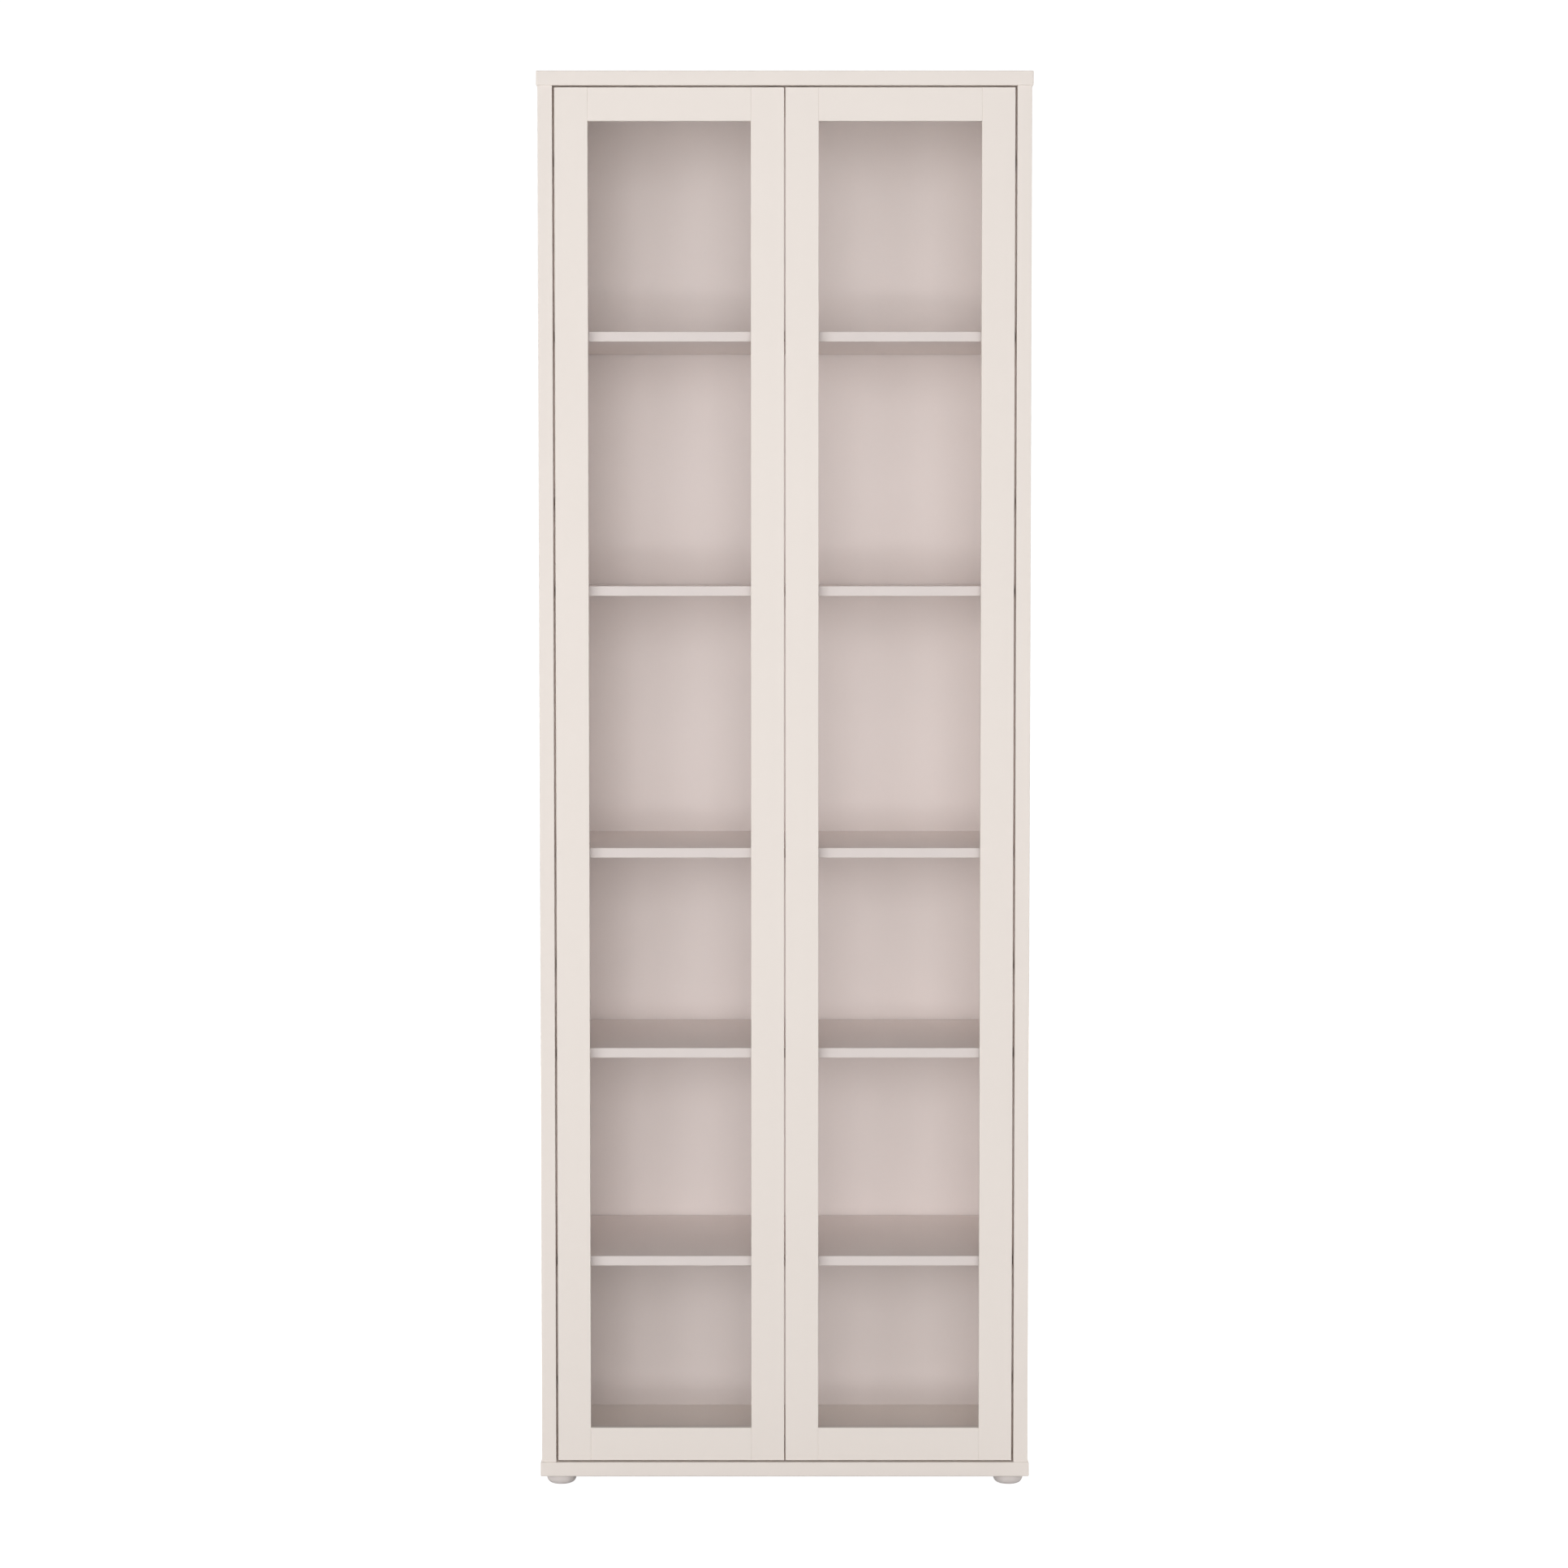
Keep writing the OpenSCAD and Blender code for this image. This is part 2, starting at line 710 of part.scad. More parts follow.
// Cross-section of a hinge stile: outer edge at x = 0, rebate at the inner rear
module stile_profile() {
    polygon([
        [bevel, 0], [stile_w - bevel, 0], [stile_w, bevel], [stile_w, lip_t],
        [stile_w - rebate_w, lip_t], [stile_w - rebate_w, door_t],
        [bevel, door_t], [0, door_t - bevel], [0, bevel]
    ]);
}

// Rods along X at the heights of the dowels that join the rails to one stile
module rail_dowels(x0, x1, d) {
    for (z = rail_dowel_zs) {
        translate([0, door_t / 2, z]) rod_x(x0, x1, d);
        translate([0, door_t / 2, door_h - z]) rod_x(x0, x1, d);
    }
}

module hinge_stile(s) {
    in_door(s) difference() {
        linear_extrude(door_h) stile_profile();
        for (z = hinge_zs) translate([cup_x, door_t - cup_h, z - door_z])
            rotate([-90, 0, 0]) cylinder(h = cup_h + 1, d = cup_d, $fn = 48);
        rail_dowels(stile_w - dowel_half - 1, stile_w + 1, dowel_d + bore_gap);
    }
}

module left_door_hinge_stile() {
    color(white) hinge_stile(-1);
}

module right_door_hinge_stile() {
    color(white) hinge_stile(1);
}

module lock_stile(s) {
    in_door(s) difference() {
        translate([door_w, 0, 0]) mirror([1, 0, 0]) linear_extrude(door_h) stile_profile();
        rail_dowels(door_w - stile_w - 1, door_w - stile_w + dowel_half + 1, dowel_d + bore_gap);
    }
}

module left_door_lock_stile() {
    color(white) lock_stile(-1);
}

module right_door_lock_stile() {
    color(white) lock_stile(1);
}

// Bottom rail between the stiles; its rear half fills the stiles' rebates
module rail() {
    difference() {
        union() {
            along_x(stile_w, door_w - stile_w) polygon([
                [rail_step, bevel / 2], [rail_step, stile_w - bevel], [rail_step + bevel, stile_w],
                [lip_t, stile_w], [lip_t, 0], [rail_step + bevel / 2, 0]
            ]);
            translate([stile_w - rebate_w, lip_t, 0])
                cube([door_w - 2 * stile_w + 2 * rebate_w, door_t - lip_t, stile_w - rebate_w]);
        }
        for (z = rail_dowel_zs) translate([0, door_t / 2, z]) {
            rod_x(stile_w - rebate_w - 1, stile_w + dowel_half + 1, dowel_d + bore_gap);
            rod_x(door_w - stile_w - dowel_half - 1, door_w - stile_w + rebate_w + 1, dowel_d + bore_gap);
        }
    }
}

module bottom_rail(s) {
    in_door(s) rail();
}

module top_rail(s) {
    in_door(s) translate([0, 0, door_h]) mirror([0, 0, 1]) rail();
}

module left_door_top_rail() {
    color(white) top_rail(-1);
}

module right_door_top_rail() {
    color(white) top_rail(1);
}

module left_door_bottom_rail() {
    color(white) bottom_rail(-1);
}

module right_door_bottom_rail() {
    color(white) bottom_rail(1);
}

module door_glass(s) {
    m = stile_w - rebate_w + glass_gap;
    in_door(s) translate([m, lip_t, m]) cube([door_w - 2 * m, glass_t, door_h - 2 * m]);
}

module left_door_glass() {
    color([0.80, 0.87, 0.86, 0.3]) door_glass(-1);
}

module right_door_glass() {
    color([0.80, 0.87, 0.86, 0.3]) door_glass(1);
}

// Bead of length l along z from the origin, mitred at both ends
module bead(l) {
    w = rebate_w - 1;
    along_y(lip_t + glass_t, door_t) polygon([[0, 0.2], [w, w + 0.2], [w, l - w - 0.2], [0, l - 0.2]]);
}

module glazing_beads(s) {
    m = stile_w - rebate_w;
    w = door_w - 2 * m;
    h = door_h - 2 * m;
    in_door(s) {
        translate([m, 0, m]) bead(h);
        translate([door_w - m, 0, m]) mirror([1, 0, 0]) bead(h);
        translate([m, 0, m]) mirror([1, 0, -1]) bead(w);
        translate([m, 0, door_h - m]) rotate([0, 90, 0]) bead(w);
    }
}

module left_door_glazing_beads() {
    color(white) glazing_beads(-1);
}

module right_door_glazing_beads() {
    color(white) glazing_beads(1);
}

module door_dowels(s) {
    in_door(s) {
        for (x = [stile_w, door_w - stile_w]) rail_dowels(x - dowel_half, x + dowel_half, dowel_d);
    }
}

module left_door_dowels() {
    color("burlywood") door_dowels(-1);
}

module right_door_dowels() {
    color("burlywood") door_dowels(1);
}

// Pressed steel cup with a flange on the door's rear face and lugs for the pin
module hinge_cup() {
    cx = gap_side + cup_x;
    px = gap_side + pivot_x;
    bottom = door_t - cup_h;
    difference() {
        union() {
            translate([cx, 0, 0]) rod_cup(bottom, door_t, cup_d - 0.1);
            translate([cx, 0, 0]) rod_cup(door_t, door_t + flange_t, cup_d + 2.2);
            translate([cx, door_t, -cup_screw_z]) cube([2 * cup_screw_x, flange_t, 2 * cup_screw_z]);
            for (z = [-cup_screw_z, cup_screw_z])
                translate([cx + cup_screw_x, 0, z]) rod_y(door_t, door_t + flange_t, 2 * cup_screw_x);
        }
        difference() {
            translate([cx, 0, 0]) rod_cup(bottom + 1, door_t + 2, cup_d - 2.2);
            for (z = [-19, 7]) translate([px - 3, bottom, z]) cube([6, 7.5, 12]);
        }
        translate([px, pivot_y, -cup_d]) cylinder(h = 2 * cup_d, d = hinge_pin_d, $fn = 32);
        for (z = [-cup_screw_z, cup_screw_z])
            translate([cx + cup_screw_x, 0, z]) rod_y(door_t - 1, door_t + 2, 4);
    }
}

// Round cup body along Y
module rod_cup(y0, y1, d) {
    translate([0, y1, 0]) rotate([90, 0, 0]) cylinder(h = y1 - y0, d = d, $fn = 48);
}

module left_hinge_cups() {
    color(steel) at_hinges(-1) hinge_cup();
}

module right_hinge_cups() {
    color(steel) at_hinges(1) hinge_cup();
}

module hinge_pins(s) {
    at_hinges(s) translate([gap_side + pivot_x, pivot_y, -15])
        cylinder(h = 30, d = hinge_pin_d, $fn = 32);
}

module left_hinge_pins() {
    color(steel) hinge_pins(-1);
}

module right_hinge_pins() {
    color(steel) hinge_pins(1);
}

module cup_screws(s) {
    at_hinges(s) for (z = [-cup_screw_z, cup_screw_z])
        translate([gap_side + cup_x + cup_screw_x, door_t + flange_t, z])
            rotate([-90, 0, 0]) screw(13, 3.4, 6.4, 1.6);
}

module left_cup_screws() {
    color(steel) cup_screws(-1);
}

module right_cup_screws() {
    color(steel) cup_screws(1);
}

// Small steel plate that the latch plunger meets, near the door's free edge
module strike_plate(s) {
    on_side(s) difference() {
        along_y(strike_rear - strike_t, strike_rear)
            soft_rect([-latch_x - strike_screw_x - 5, latch_z - 6.5], [-latch_x + 6, latch_z + 4.5], 1);
        translate([-latch_x - strike_screw_x, 0, latch_z - 1])
            rod_y(strike_rear - strike_t - 1, strike_rear + 1, 3.6);
    }
}

module left_strike_plate() {
    color(steel) strike_plate(-1);
}

module right_strike_plate() {
    color(steel) strike_plate(1);
}

module strike_screw(s) {
    on_side(s) translate([-latch_x - strike_screw_x, strike_rear, latch_z - 1])
        rotate([-90, 0, 0]) screw(12, 3.2, 6, 1.5);
}

module left_strike_screw() {
    color(steel) strike_screw(-1);
}

module right_strike_screw() {
    color(steel) strike_screw(1);
}

// ---- assembly ----

left_side_panel();
right_side_panel();
top_panel();
bottom_panel();
bottom_shelf();
lower_shelf();
middle_shelf();
upper_shelf();
top_shelf();
back_panel_upper();
back_panel_lower();
back_panel_nails();
shelf_pins();
cam_locks();
cam_bolts();
carcass_dowels();
front_left_foot();
front_right_foot();
rear_left_foot();
rear_right_foot();
foot_screws();
left_hinge_plates();
right_hinge_plates();
left_hinge_arms();
right_hinge_arms();
hinge_plate_screws();
hinge_arm_screws();
left_latch_housing();
right_latch_housing();
latch_screws();
wall_brackets();
wall_bracket_screws();
left_door_hinge_stile();
left_door_lock_stile();
left_door_top_rail();
left_door_bottom_rail();
left_door_glass();
left_door_glazing_beads();
left_door_dowels();
left_hinge_cups();
left_hinge_pins();
left_cup_screws();
left_strike_plate();
left_strike_screw();
right_door_hinge_stile();
right_door_lock_stile();
right_door_top_rail();
right_door_bottom_rail();
right_door_glass();
right_door_glazing_beads();
right_door_dowels();
right_hinge_cups();
right_hinge_pins();
right_cup_screws();
right_strike_plate();
right_strike_screw();
left_latch_plunger();
right_latch_plunger();
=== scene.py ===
import math

import bmesh
import bpy
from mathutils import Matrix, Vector

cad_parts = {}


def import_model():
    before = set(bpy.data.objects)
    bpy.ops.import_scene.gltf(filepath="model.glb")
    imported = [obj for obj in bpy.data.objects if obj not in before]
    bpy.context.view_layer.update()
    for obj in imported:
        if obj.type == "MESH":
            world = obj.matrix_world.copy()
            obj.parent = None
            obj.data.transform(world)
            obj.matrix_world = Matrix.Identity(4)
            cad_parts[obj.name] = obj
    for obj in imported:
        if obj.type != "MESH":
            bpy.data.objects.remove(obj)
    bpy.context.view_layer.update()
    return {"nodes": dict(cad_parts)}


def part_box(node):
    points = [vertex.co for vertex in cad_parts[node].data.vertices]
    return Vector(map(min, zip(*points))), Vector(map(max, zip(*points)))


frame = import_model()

NODES = frame["nodes"]
MM = 0.001

# Boards: how thick the edging on the front edges is, and how wide the seam behind it
EDGING = 1.0 * MM
SEAM = 0.18 * MM
# How far each kind of edge looks rounded, by shading only
BOARD_ARRIS = 1.0 * MM
SHELF_ARRIS = 0.4 * MM
DOOR_ARRIS = 0.5 * MM
METAL_ARRIS = 0.3 * MM
PLASTIC_ARRIS = 0.5 * MM

# Limits on a normal's component along an axis: above them the face looks straight along it,
# mostly along it, or at least slants to it; below the last one it runs alongside the axis
STRAIGHT = 0.9
MOSTLY = 0.5
SLANTED = 0.04
ALONGSIDE = 0.05

# How strongly the seam behind an edging shows
SEAM_SHADE = 0.45

# Roughness of surfaces that have no satin skin
CHIP_ROUGH = 0.85
PRINT_ROUGH = 0.5
FIBRE_ROUGH = 0.8
BEECH_ROUGH = 0.6
FLOOR_ROUGH = 0.9

# Refractive indices
LACQUER_IOR = 1.45
GLASS_IOR = 1.52

# Linear colours; a pair runs from dark to light
WHITE = (0.875, 0.803, 0.748)
# The shelves' and the back's whites are lighter and pinker than WHITE: painted light, standing in for
# light bounced around inside the cabinet
SHELF_PAINTED_BOUNCE_WHITE = (0.90, 0.818, 0.785)
BACK_PAINTED_BOUNCE_WHITE = (0.905, 0.822, 0.794)
SEAM_BROWN = (0.30, 0.25, 0.21)
CHIPS = ((0.33, 0.215, 0.12), (0.62, 0.47, 0.31))
FIBRES = ((0.215, 0.130, 0.074), (0.35, 0.235, 0.145))
BEECH = ((0.50, 0.31, 0.16), (0.68, 0.47, 0.28))
GLASS_EDGE = (0.50, 0.72, 0.62)
GLASS_FACE = (0.995, 0.9945, 0.995)
NICKEL = (0.66, 0.64, 0.61)
ZINC = (0.58, 0.575, 0.56)
FOOT_GREY = (0.74, 0.682, 0.66)
BEAD_WHITE = (0.78, 0.72, 0.68)
LATCH_WHITE = (0.80, 0.75, 0.70)
PLUNGER_GREY = (0.55, 0.53, 0.51)
FLOOR_GREYS = ((0.54, 0.54, 0.54), (0.56, 0.56, 0.56))
LIGHT_WHITE = (1.0, 1.0, 1.0)


def tint(colour, factor=1.0):
    """The colour darker or lighter by a factor, with an alpha of 1."""
    return tuple(factor * c for c in colour) + (1.0,)


# ---------------------------------------------------------------- node helpers


class Graph:
    """Short calls for building one material's node tree."""

    def __init__(self, name):
        self.mat = bpy.data.materials.new(name)
        self.mat.use_nodes = True
        self.tree = self.mat.node_tree
        self.tree.nodes.clear()
        self.out = self.add("ShaderNodeOutputMaterial")

    def add(self, kind, **values):
        node = self.tree.nodes.new(kind)
        for key, value in values.items():
            setattr(node, key, value)
        return node

    def put(self, socket, value):
        """Links an output to a socket, or sets the socket's own value."""
        if isinstance(value, bpy.types.NodeSocket):
            self.tree.links.new(value, socket)
        else:
            socket.default_value = value

    def math(self, operation, a, b=0.0):
        node = self.add("ShaderNodeMath", operation=operation)
        self.put(node.inputs[0], a)
        self.put(node.inputs[1], b)
        return node.outputs[0]

    def times(self, a, b):
        return self.math("MULTIPLY", a, b)

    def blend(self, a, b, share):
        """Two values added, the first by its share and the second by the rest."""
        return self.math("ADD", self.times(a, share), self.times(b, 1 - share))

    def mix(self, factor, a, b):
        """Mixes two colours, by the sockets that a mix node keeps for colours."""
        node = self.add("ShaderNodeMix", data_type="RGBA")
        self.put(node.inputs["Factor"], factor)
        self.put(node.inputs[6], a)
        self.put(node.inputs[7], b)
        return node.outputs[2]

    def place(self, scale=(1, 1, 1)):
        """The object's own coordinates, stretched by a scale on each axis."""
        coords = self.add("ShaderNodeTexCoord")
        mapping = self.add("ShaderNodeMapping")
        mapping.inputs["Scale"].default_value = scale
        self.put(mapping.inputs["Vector"], coords.outputs["Object"])
        return mapping.outputs[0]

    def axis(self, kind, i):
        """One component of the object's own position or normal, so it stays put as bodies move."""
        coords = self.add("ShaderNodeTexCoord")
        split = self.add("ShaderNodeSeparateXYZ")
        self.put(split.inputs[0], coords.outputs[kind])
        return split.outputs[i]

    def noise(self, place, scale, detail=2.0, rough=0.5):
        node = self.add("ShaderNodeTexNoise")
        self.put(node.inputs["Vector"], place)
        self.put(node.inputs["Scale"], scale)
        self.put(node.inputs["Detail"], detail)
        self.put(node.inputs["Roughness"], rough)
        return node.outputs["Fac"]

    def span(self, value, start, end, low, high):
        """Maps start to end onto low to high, and stays at low or high beyond them."""
        node = self.add("ShaderNodeMapRange")
        for i, v in enumerate((value, start, end, low, high)):
            self.put(node.inputs[i], v)
        return node.outputs[0]

    def spread(self, noise, low=0.0, high=1.0, tail=0.3):
        """Stretches a noise, less its tails, onto low to high."""
        return self.span(noise, tail, 1 - tail, low, high)

    def bump(self, height, strength, distance, normal=None):
        node = self.add("ShaderNodeBump")
        self.put(node.inputs["Height"], height)
        self.put(node.inputs["Strength"], strength)
        self.put(node.inputs["Distance"], distance)
        if normal is not None:
            self.put(node.inputs["Normal"], normal)
        return node.outputs[0]

    def bevel(self, radius):
        node = self.add("ShaderNodeBevel", samples=4)
        self.put(node.inputs["Radius"], radius)
        return node.outputs[0]

    def principled(self, **values):
        """Ends the material in one principled surface."""
        node = self.add("ShaderNodeBsdfPrincipled")
        for key, value in values.items():
            self.put(node.inputs[key.replace("_", " ")], value)
        self.put(self.out.inputs["Surface"], node.outputs[0])


# ---------------------------------------------------------------- materials


def satin_white(g, base, rough, arris, pebble):
    """Colour, roughness and normal of a satin skin: faint tone drift, soft waves, fine pebble.

    arris is the radius of the rounded edges, and pebble the strength of the finest bumps.
    """
    place = g.place()
    tone = g.blend(g.noise(place, scale=2.3, detail=3), g.noise(place, scale=70), share=0.7)
    colour = g.mix(g.spread(tone), tint(base, 0.992), tint(base, 1.006))
    roughness = g.spread(g.noise(place, scale=12, detail=3), rough - 0.035, rough + 0.035)
    waves = g.noise(place, scale=55, detail=1)
    normal = g.bump(waves, strength=0.05, distance=0.4 * MM, normal=g.bevel(arris))
    pebbles = g.noise(place, scale=950)
    normal = g.bump(pebbles, strength=pebble, distance=0.12 * MM, normal=normal)
    return colour, roughness, normal


def foil(name, base, rough, arris):
    """Smooth foil over the whole of a piece."""
    g = Graph(name)
    colour, roughness, normal = satin_white(g, base, rough, arris, pebble=0.03)
    g.principled(Base_Color=colour, Roughness=roughness, Normal=normal, IOR=LACQUER_IOR)
    return g.mat


def raw_chipboard(g, rear, bored):
    """1 where a board shows its core: its rear edge and, if bored, its bores along X; 0 elsewhere."""
    nx, ny, nz = (g.math("ABSOLUTE", g.axis("Normal", i)) for i in range(3))
    faces_rear = g.math("GREATER_THAN", ny, STRAIGHT)
    at_rear = g.math("GREATER_THAN", g.axis("Object", 1), rear - MM)
    raw = g.times(faces_rear, at_rear)
    if bored:
        round_wall = g.times(g.math("GREATER_THAN", ny, SLANTED), g.math("GREATER_THAN", nz, SLANTED))
        bore = g.times(g.math("LESS_THAN", nx, ALONGSIDE), round_wall)
        raw = g.math("MAXIMUM", raw, bore)
    return raw


def board(node, base, rough, arris, edging_shade=1.0, bored=False):
    """Laminated chipboard with a front edging, a hairline seam behind it and a raw core.

    The front edging's tone is given as a factor of the base colour; a factor below 1 paints shade
    onto the front edges.
    """
    g = Graph(node.replace("_", " "))
    colour, roughness, normal = satin_white(g, base, rough, arris, pebble=0.05)
    low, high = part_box(node)
    front, rear = low[1], high[1]

    y = g.axis("Object", 1)
    # Below 1, the front edging is darkened as painted shade on the recessed shelf fronts
    if edging_shade != 1.0:
        in_edging = g.math("LESS_THAN", y, front + EDGING)
        colour = g.mix(in_edging, colour, tint(base, edging_shade))
    from_seam = g.math("ABSOLUTE", g.math("SUBTRACT", y, front + EDGING))
    on_side = g.math("LESS_THAN", g.math("ABSOLUTE", g.axis("Normal", 1)), MOSTLY)
    seam = g.times(g.math("LESS_THAN", from_seam, SEAM / 2), on_side)
    colour = g.mix(g.times(seam, SEAM_SHADE), colour, tint(SEAM_BROWN))

    raw = raw_chipboard(g, rear, bored)
    place = g.place()
    large_flakes = g.noise(place, scale=260, detail=5, rough=0.7)
    small_flakes = g.noise(place, scale=1100, detail=3)
    flakes = g.blend(large_flakes, small_flakes, share=0.6)
    chips = g.mix(g.spread(flakes, tail=0.35), tint(CHIPS[0]), tint(CHIPS[1]))
    colour = g.mix(raw, colour, chips)
    roughness = g.math("MAXIMUM", roughness, g.times(raw, CHIP_ROUGH))
    normal = g.bump(g.times(flakes, raw), strength=0.6, distance=0.6 * MM, normal=normal)
    g.principled(Base_Color=colour, Roughness=roughness, Normal=normal, IOR=LACQUER_IOR)
    return g.mat


def back_board(name, base):
    """Hardboard: white-printed smooth face inside, brown fibre face outside."""
    g = Graph(name)
    place = g.place()
    outside = g.math("GREATER_THAN", g.axis("Normal", 1), MOSTLY)
    white = g.mix(g.noise(place, scale=3.1, detail=3), tint(base, 0.985), tint(base))
    fibre = g.noise(g.place((1, 1, 0.4)), scale=420, detail=5, rough=0.7)
    mottled = g.blend(fibre, g.noise(g.place((1, 1, 0.5)), scale=14, detail=5), share=0.8)
    brown = g.mix(g.spread(mottled, tail=0.35), tint(FIBRES[0]), tint(FIBRES[1]))
    colour = g.mix(outside, white, brown)
    roughness = g.math("ADD", g.times(outside, FIBRE_ROUGH - PRINT_ROUGH), PRINT_ROUGH)
    normal = g.bump(g.noise(place, scale=300), strength=0.05, distance=0.2 * MM)
    normal = g.bump(g.times(fibre, outside), strength=0.5, distance=0.4 * MM, normal=normal)
    g.principled(Base_Color=colour, Roughness=roughness, Normal=normal, IOR=LACQUER_IOR)
    return g.mat


def pane_glass(name):
    """Clear float glass: what is behind shows through, and front faces mirror by angle."""
    g = Graph(name)
    is_face = g.math("GREATER_THAN", g.math("ABSOLUTE", g.axis("Normal", 1)), MOSTLY)
    clear = g.add("ShaderNodeBsdfTransparent")
    g.put(clear.inputs["Color"], g.mix(is_face, tint(GLASS_EDGE), tint(GLASS_FACE)))
    gloss = g.add("ShaderNodeBsdfGlossy")
    smear = g.noise(g.place((1, 1, 0.35)), scale=6, detail=3)
    g.put(gloss.inputs["Roughness"], g.span(smear, 0.35, 0.75, 0.015, 0.05))
    g.put(gloss.inputs["Color"], tint(LIGHT_WHITE))
    fresnel = g.add("ShaderNodeFresnel")
    g.put(fresnel.inputs["IOR"], GLASS_IOR)
    geometry = g.add("ShaderNodeNewGeometry")
    entering = g.math("SUBTRACT", 1.0, geometry.outputs["Backfacing"])
    mix = g.add("ShaderNodeMixShader")
    g.put(mix.inputs[0], g.times(fresnel.outputs[0], entering))
    g.put(mix.inputs[1], clear.outputs[0])
    g.put(mix.inputs[2], gloss.outputs[0])
    g.put(g.out.inputs["Surface"], mix.outputs[0])
    return g.mat


def plated(name, base, rough):
    """Plated pressed steel with fine drawing marks and dulled patches."""
    g = Graph(name)
    streak = g.noise(g.place((1, 1, 0.05)), scale=1400)
    patch = g.noise(g.place(), scale=160, detail=3)
    colour = g.mix(g.spread(patch), tint(base, 0.9), tint(base))
    patchy = g.spread(patch, rough - 0.05, rough + 0.08)
    roughness = g.math("ADD", patchy, g.times(streak, 0.06))
    normal = g.bump(streak, strength=0.12, distance=0.04 * MM, normal=g.bevel(METAL_ARRIS))
    g.principled(Base_Color=colour, Metallic=1.0, Roughness=roughness, Normal=normal)
    return g.mat


def moulded(name, base, rough, grain_scale, grain):
    """Moulded plastic with a fine spark-eroded grain."""
    g = Graph(name)
    place = g.place()
    tone = g.spread(g.noise(place, scale=35, detail=3))
    colour = g.mix(tone, tint(base, 0.95), tint(base))
    roughness = g.spread(g.noise(place, scale=120), rough - 0.05, rough + 0.06)
    pits = g.noise(place, scale=grain_scale, detail=3)
    normal = g.bump(pits, strength=grain, distance=0.12 * MM, normal=g.bevel(PLASTIC_ARRIS))
    g.principled(Base_Color=colour, Roughness=roughness, Normal=normal)
    return g.mat


def beech(name):
    """Fluted beech dowel: end-to-end grain with small flecks."""
    g = Graph(name)
    grain = g.noise(g.place((0.15, 1, 1)), scale=700, detail=4, rough=0.6)
    colour = g.mix(g.spread(grain), tint(BEECH[0]), tint(BEECH[1]))
    normal = g.bump(grain, strength=0.3, distance=0.2 * MM)
    g.principled(Base_Color=colour, Roughness=BEECH_ROUGH, Normal=normal)
    return g.mat


MATERIALS = {
    "side": board("left_side_panel", WHITE, 0.42, BOARD_ARRIS, bored=True),
    "cap": board("top_panel", WHITE, 0.42, BOARD_ARRIS),
    # The shelves' white is lighter and pinker than the sides': painted bounce light
    "shelf": board("upper_shelf", SHELF_PAINTED_BOUNCE_WHITE, 0.46, SHELF_ARRIS, edging_shade=0.90),
    "middle": board("middle_shelf", SHELF_PAINTED_BOUNCE_WHITE, 0.46, SHELF_ARRIS, edging_shade=0.90),
    "door": foil("door foil", WHITE, 0.38, DOOR_ARRIS),
    # The back's printed white is lighter and pinker than the sides': painted bounce light
    "back": back_board("back board", BACK_PAINTED_BOUNCE_WHITE),
    "glass": pane_glass("door glass"),
    "nickel": plated("nickel steel", NICKEL, 0.27),
    "zinc": plated("zinc screws", ZINC, 0.32),
    "foot": moulded("foot plastic", FOOT_GREY, 0.5, grain_scale=1500, grain=0.3),
    "bead": moulded("bead plastic", BEAD_WHITE, 0.42, grain_scale=1200, grain=0.1),
    "latch": moulded("latch plastic", LATCH_WHITE, 0.4, grain_scale=1600, grain=0.15),
    "plunger": moulded("plunger plastic", PLUNGER_GREY, 0.35, grain_scale=1800, grain=0.1),
    "beech": beech("beech"),
}

# The first row with a word that is in the node's name gives its material
MATERIAL_OF = (
    ("glass", ("_door_glass",)),
    ("beech", ("dowels",)),
    ("foot", ("_foot",)),
    ("back", ("back_panel_upper", "back_panel_lower")),
    ("bead", ("beads",)),
    ("latch", ("latch_housing",)),
    ("plunger", ("plunger",)),
    ("zinc", ("screw", "nails")),
    ("nickel", ("plates", "arms", "cups", "pins", "cam_", "brackets", "strike_plate")),
    ("door", ("_door_",)),
    ("middle", ("middle_shelf",)),
    ("shelf", ("_shelf",)),
    ("side", ("side_panel",)),
    ("cap", ("top_panel", "bottom_panel")),
)


def material_for(node):
    for key, words in MATERIAL_OF:
        if any(word in node for word in words):
            return MATERIALS[key]


for name, obj in NODES.items():
    material = material_for(name)
    if not obj.material_slots:
        obj.data.materials.append(material)
    for slot in obj.material_slots:
        slot.material = material


# ---------------------------------------------------------------- camera, light, floor


def link_to_scene(name, data):
    obj = bpy.data.objects.new(name, data)
    bpy.context.scene.collection.objects.link(obj)
    return obj


def camera(lens, tilt, shift, location):
    """Camera in front that looks along +Y, tilted down by some degrees."""
    data = bpy.data.cameras.new("camera")
    data.sensor_width = 36.0
    data.lens = lens
    data.shift_x, data.shift_y = shift
    data.clip_end = 100.0
    obj = link_to_scene("camera", data)
    obj.location = location
    obj.rotation_euler = (math.radians(90 - tilt), 0, 0)
    bpy.context.scene.camera = obj


def softbox(name, location, target, size, power):
    """Large soft light that glass and gloss don't show."""
    data = bpy.data.lights.new(name, "AREA")
    data.shape = "RECTANGLE"
    data.size, data.size_y = size
    data.energy = power
    obj = link_to_scene(name, data)
    obj.location = location
    obj.rotation_euler = (Vector(target) - Vector(location)).to_track_quat("-Z", "Y").to_euler()
    obj.visible_glossy = False


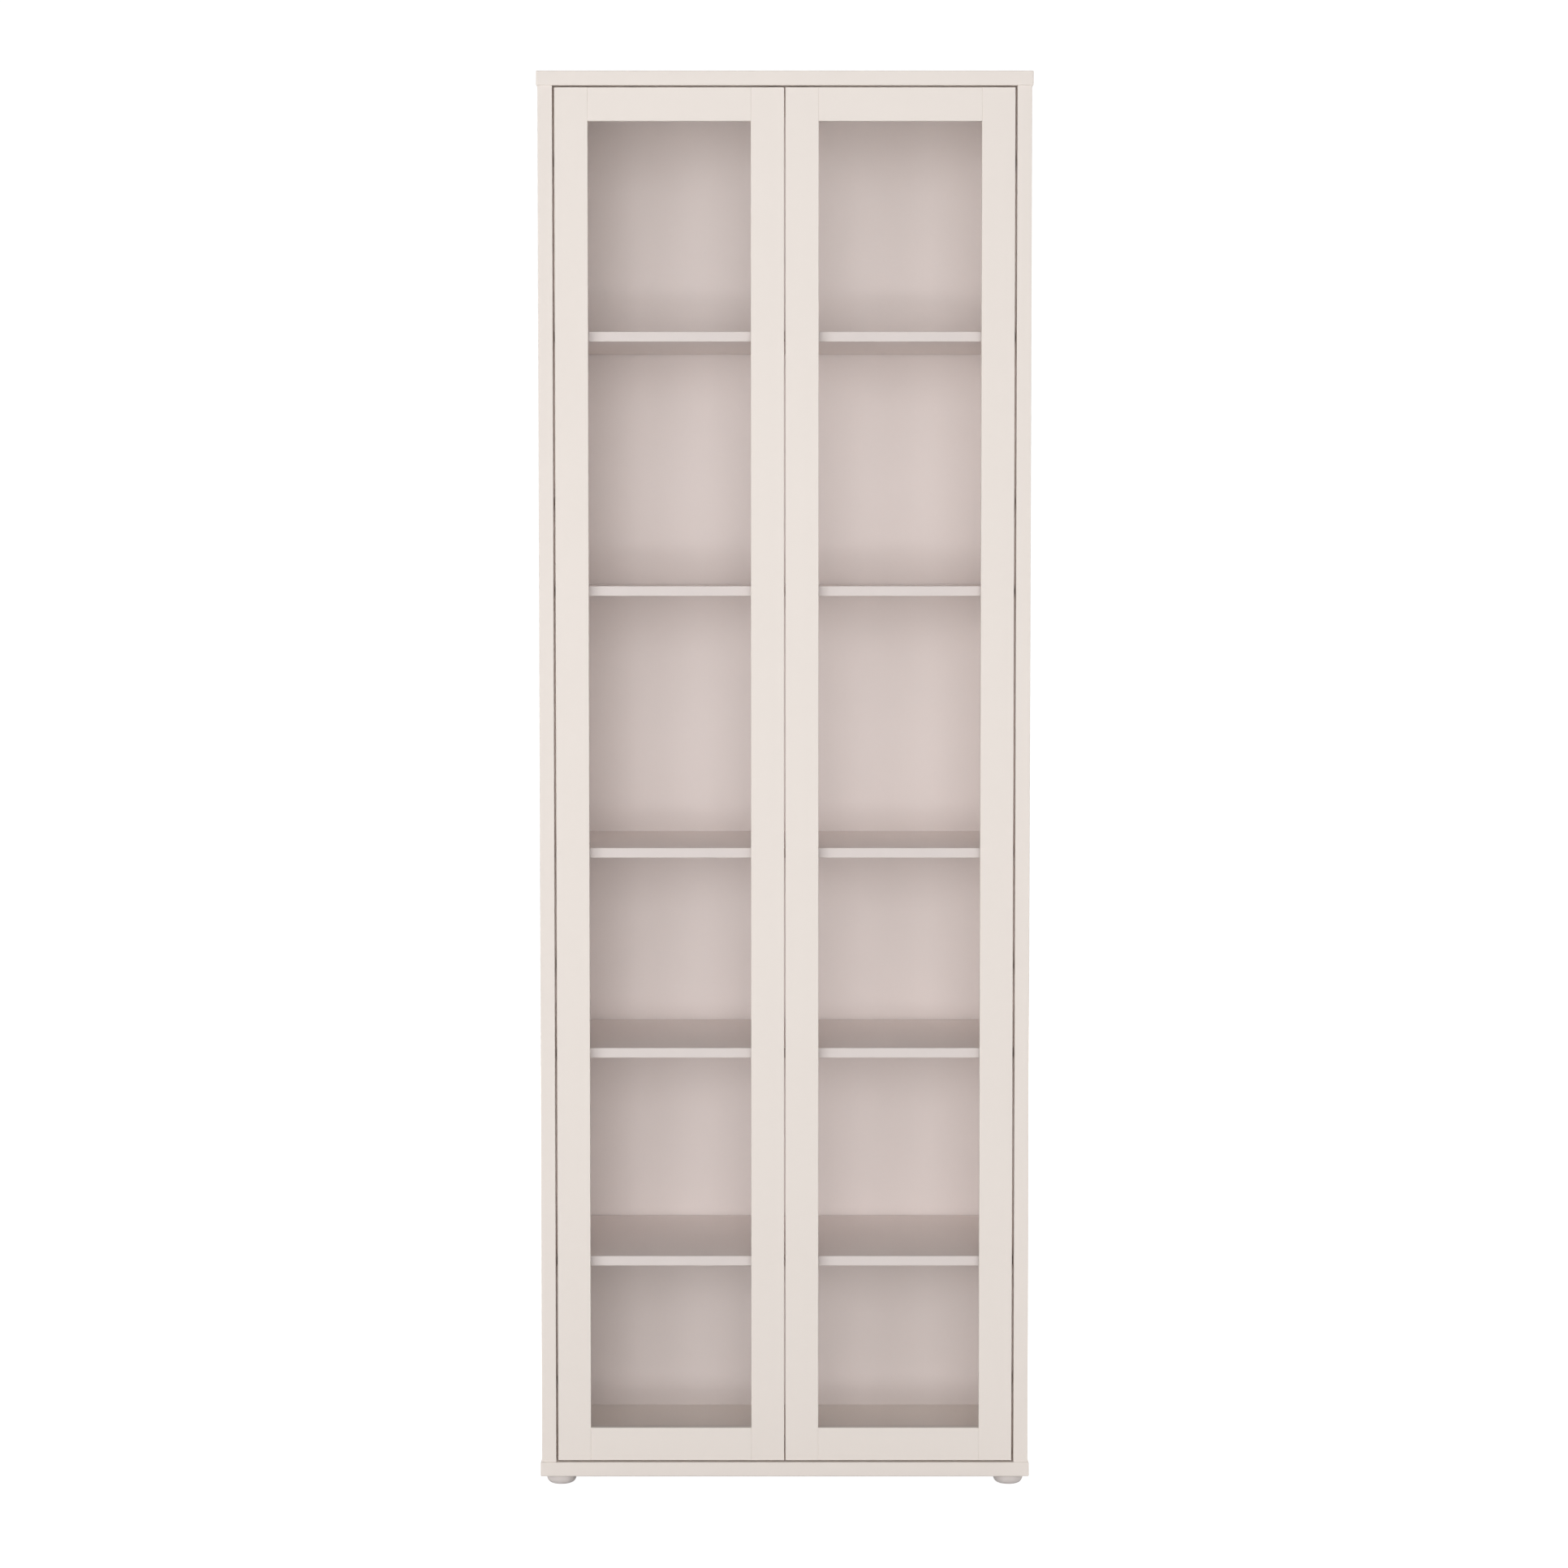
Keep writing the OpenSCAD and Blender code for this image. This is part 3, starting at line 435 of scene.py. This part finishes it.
def world(fill, mirrored, behind):
    """Even white surroundings of three strengths: as light, in mirrors, and seen behind."""
    studio = bpy.data.worlds.new("studio")
    bpy.context.scene.world = studio
    studio.use_nodes = True
    tree = studio.node_tree
    tree.nodes.clear()
    out = tree.nodes.new("ShaderNodeOutputWorld")
    background = tree.nodes.new("ShaderNodeBackground")
    path = tree.nodes.new("ShaderNodeLightPath")
    by_mirror = tree.nodes.new("ShaderNodeMix")
    by_camera = tree.nodes.new("ShaderNodeMix")
    by_mirror.inputs["A"].default_value = fill
    by_mirror.inputs["B"].default_value = mirrored
    by_camera.inputs["B"].default_value = behind
    tree.links.new(path.outputs["Is Glossy Ray"], by_mirror.inputs["Factor"])
    tree.links.new(path.outputs["Is Camera Ray"], by_camera.inputs["Factor"])
    tree.links.new(by_mirror.outputs[0], by_camera.inputs["A"])
    tree.links.new(by_camera.outputs[0], background.inputs["Strength"])
    tree.links.new(background.outputs[0], out.inputs["Surface"])
    background.inputs["Color"].default_value = tint(LIGHT_WHITE)


def floor(half_width, glow):
    """Plain pale floor; it shines a little for the camera so that it reads as white."""
    mesh = bpy.data.meshes.new("studio_floor")
    grid = bmesh.new()
    bmesh.ops.create_grid(grid, x_segments=4, y_segments=4, size=half_width)
    grid.to_mesh(mesh)
    grid.free()
    obj = link_to_scene("studio_floor", mesh)
    g = Graph("floor paint")
    path = g.add("ShaderNodeLightPath")
    g.principled(
        Base_Color=g.mix(g.noise(g.place(), scale=0.8), tint(FLOOR_GREYS[0]), tint(FLOOR_GREYS[1])),
        Roughness=FLOOR_ROUGH,
        Emission_Color=tint(LIGHT_WHITE),
        Emission_Strength=g.times(path.outputs["Is Camera Ray"], glow),
    )
    mesh.materials.append(g.mat)
    obj.visible_glossy = False


camera(lens=82.60, tilt=2.881, shift=(-0.0005, -0.028), location=(0.0, -5.614, 1.413))
world(fill=0.15, mirrored=0.75, behind=1.05)
# Where the softboxes aim; places and sizes are in metres, strengths in watts
MIDDLE = (0, 0, 1.15)
ABOVE_MIDDLE = (0, 0, 1.3)
softbox("front softbox", (0, -7.5, 2.0), MIDDLE, (3.0, 3.0), 176)
softbox("left front softbox", (-3.2, -6.8, 1.4), MIDDLE, (2.5, 2.5), 106)
softbox("high front softbox", (0, -6.0, 4.2), MIDDLE, (3.5, 2.0), 34)
softbox("low front softbox", (0, -6.2, 0.35), ABOVE_MIDDLE, (3.0, 0.5), 40)
softbox("left side softbox", (-5.5, 1.5, 1.9), MIDDLE, (2.5, 2.5), 120)
softbox("right side softbox", (5.5, 0.9, 1.9), MIDDLE, (2.5, 2.5), 90)
softbox("rear softbox", (1.6, 5.5, 2.2), MIDDLE, (3.0, 3.0), 190)
softbox("overhead softbox", (0, 1.2, 5.2), MIDDLE, (3.0, 2.5), 62)
floor(half_width=30, glow=0.92)
bpy.context.scene.view_settings.view_transform = "Standard"
